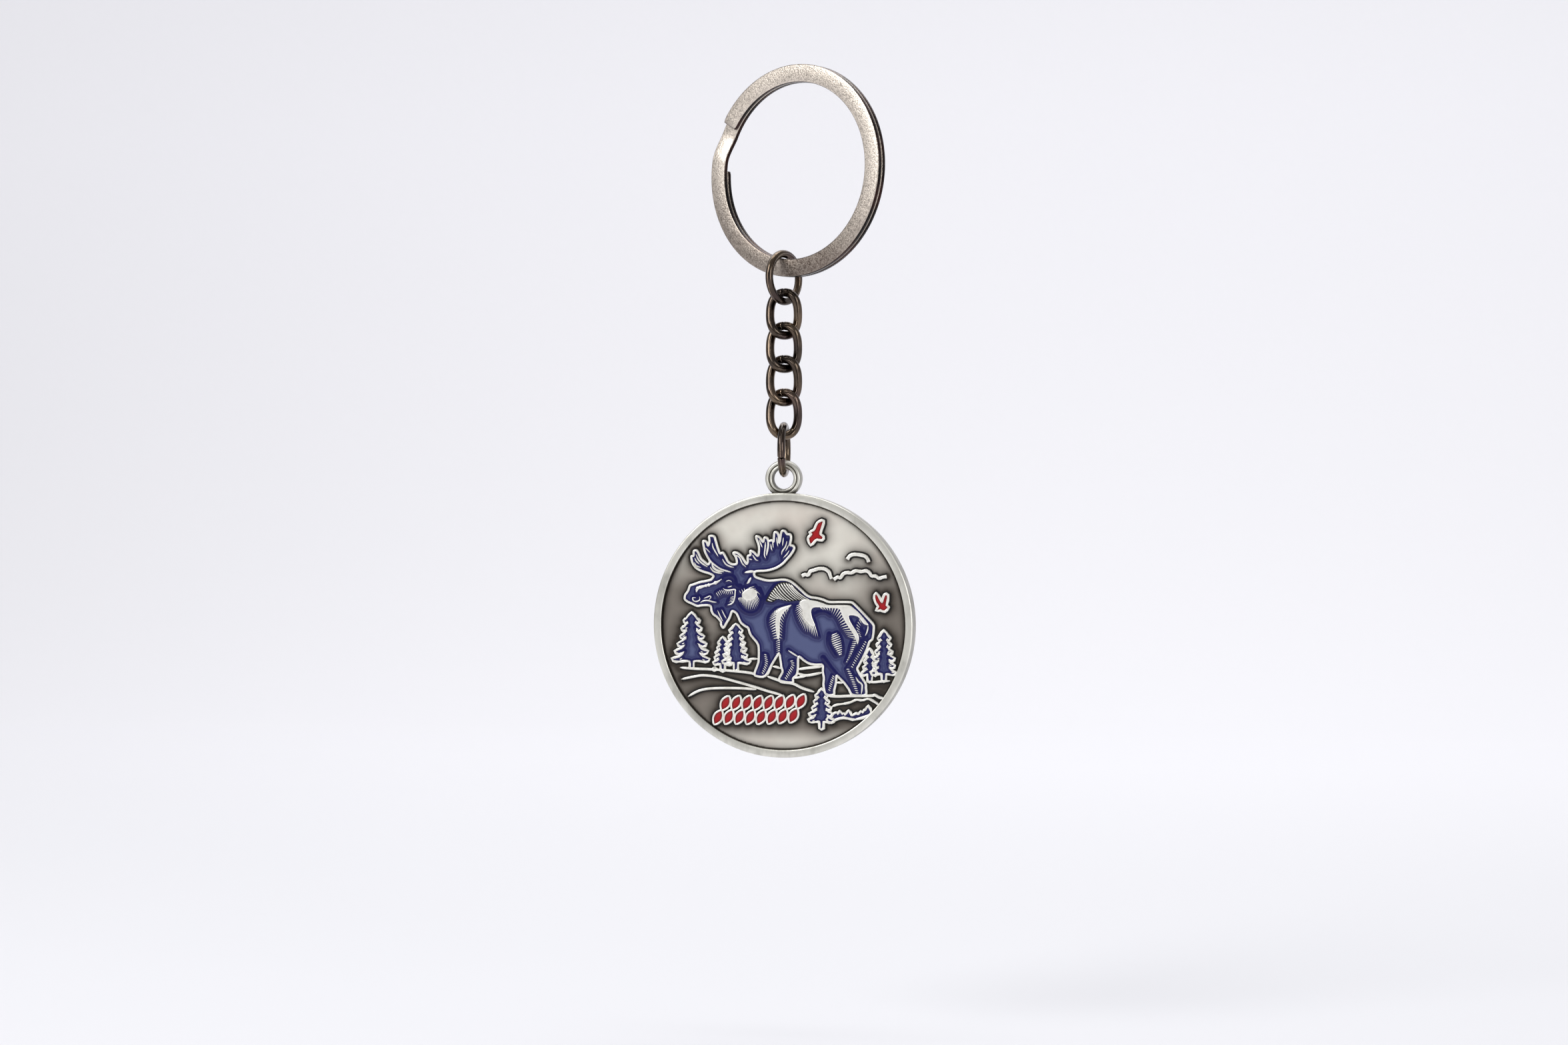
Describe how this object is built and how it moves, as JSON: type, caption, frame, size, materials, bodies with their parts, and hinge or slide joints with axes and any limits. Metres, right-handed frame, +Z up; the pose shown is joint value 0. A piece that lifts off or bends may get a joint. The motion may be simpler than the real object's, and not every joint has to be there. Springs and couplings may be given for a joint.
{
  "type": "medal keychain",
  "caption": "Key ring with a short curb chain and a round pewter-toned medal, enamelled with a moose among spruces.",
  "frame": {"origin": "centre of the split ring, midway between its two turns of wire", "axes": "+Z up along the hanging chain, the medal's enamelled front faces -Y, +X to the right as the front is seen"},
  "size_m": [0.038, 0.0146, 0.0993],
  "materials": {
    "ring_nickel": "antique nickel, worn bright on the faces",
    "chain_steel": "dark antique bronze-toned plating, glossy",
    "medal_pewter": "antique pewter plating, satin, dark in the recesses",
    "blue_enamel": "glossy soft enamel",
    "red_enamel": "glossy soft enamel"
  },
  "bodies": {
    "ring": {"split_ring": "ring_nickel"},
    "top_ring": {"top_jump_ring": "chain_steel"},
    "link_1": {"chain_link_1": "chain_steel"},
    "link_2": {"chain_link_2": "chain_steel"},
    "link_3": {"chain_link_3": "chain_steel"},
    "link_4": {"chain_link_4": "chain_steel"},
    "lower_ring": {"lower_jump_ring": "chain_steel"},
    "medal": {"medal_body": "medal_pewter", "moose_enamel": "blue_enamel", "left_tree_enamel": "blue_enamel", "middle_trees_enamel": "blue_enamel", "right_trees_enamel": "blue_enamel", "front_trees_enamel": "blue_enamel", "upper_bird_enamel": "red_enamel", "lower_bird_enamel": "red_enamel", "leaf_sprig_enamel": "red_enamel"}
  },
  "joints": [
    {"name": "top_ring_slide", "type": "hinge", "parent": "ring", "child": "top_ring", "pos_m": [0, 0, 0], "axis": [0.4384, 0.8988, 0], "continuous": true},
    {"name": "link_1_swing", "type": "hinge", "parent": "top_ring", "child": "link_1", "pos_m": [-0.00204, 0.00099, -0.0186], "axis": [0.4384, 0.8988, 0], "range_deg": [-60, 60]},
    {"name": "link_2_swing", "type": "hinge", "parent": "link_1", "child": "link_2", "pos_m": [-0.00204, 0.00099, -0.02347], "axis": [0.7193, 0.6947, 0], "range_deg": [-20, 20]},
    {"name": "link_3_swing", "type": "hinge", "parent": "link_2", "child": "link_3", "pos_m": [-0.00204, 0.00099, -0.02827], "axis": [0.7193, 0.6947, 0], "range_deg": [-20, 20]},
    {"name": "link_4_swing", "type": "hinge", "parent": "link_3", "child": "link_4", "pos_m": [-0.00204, 0.00099, -0.03307], "axis": [0.7193, 0.6947, 0], "range_deg": [-20, 20]},
    {"name": "lower_ring_swing", "type": "hinge", "parent": "link_4", "child": "lower_ring", "pos_m": [-0.00204, 0.00099, -0.03787], "axis": [0.7193, 0.6947, 0], "range_deg": [-30, 30]},
    {"name": "medal_swing", "type": "hinge", "parent": "lower_ring", "child": "medal", "pos_m": [-0.00204, 0.00099, -0.04334], "axis": [-0.0872, 0.9962, 0], "range_deg": [-90, 90]}
  ]
}
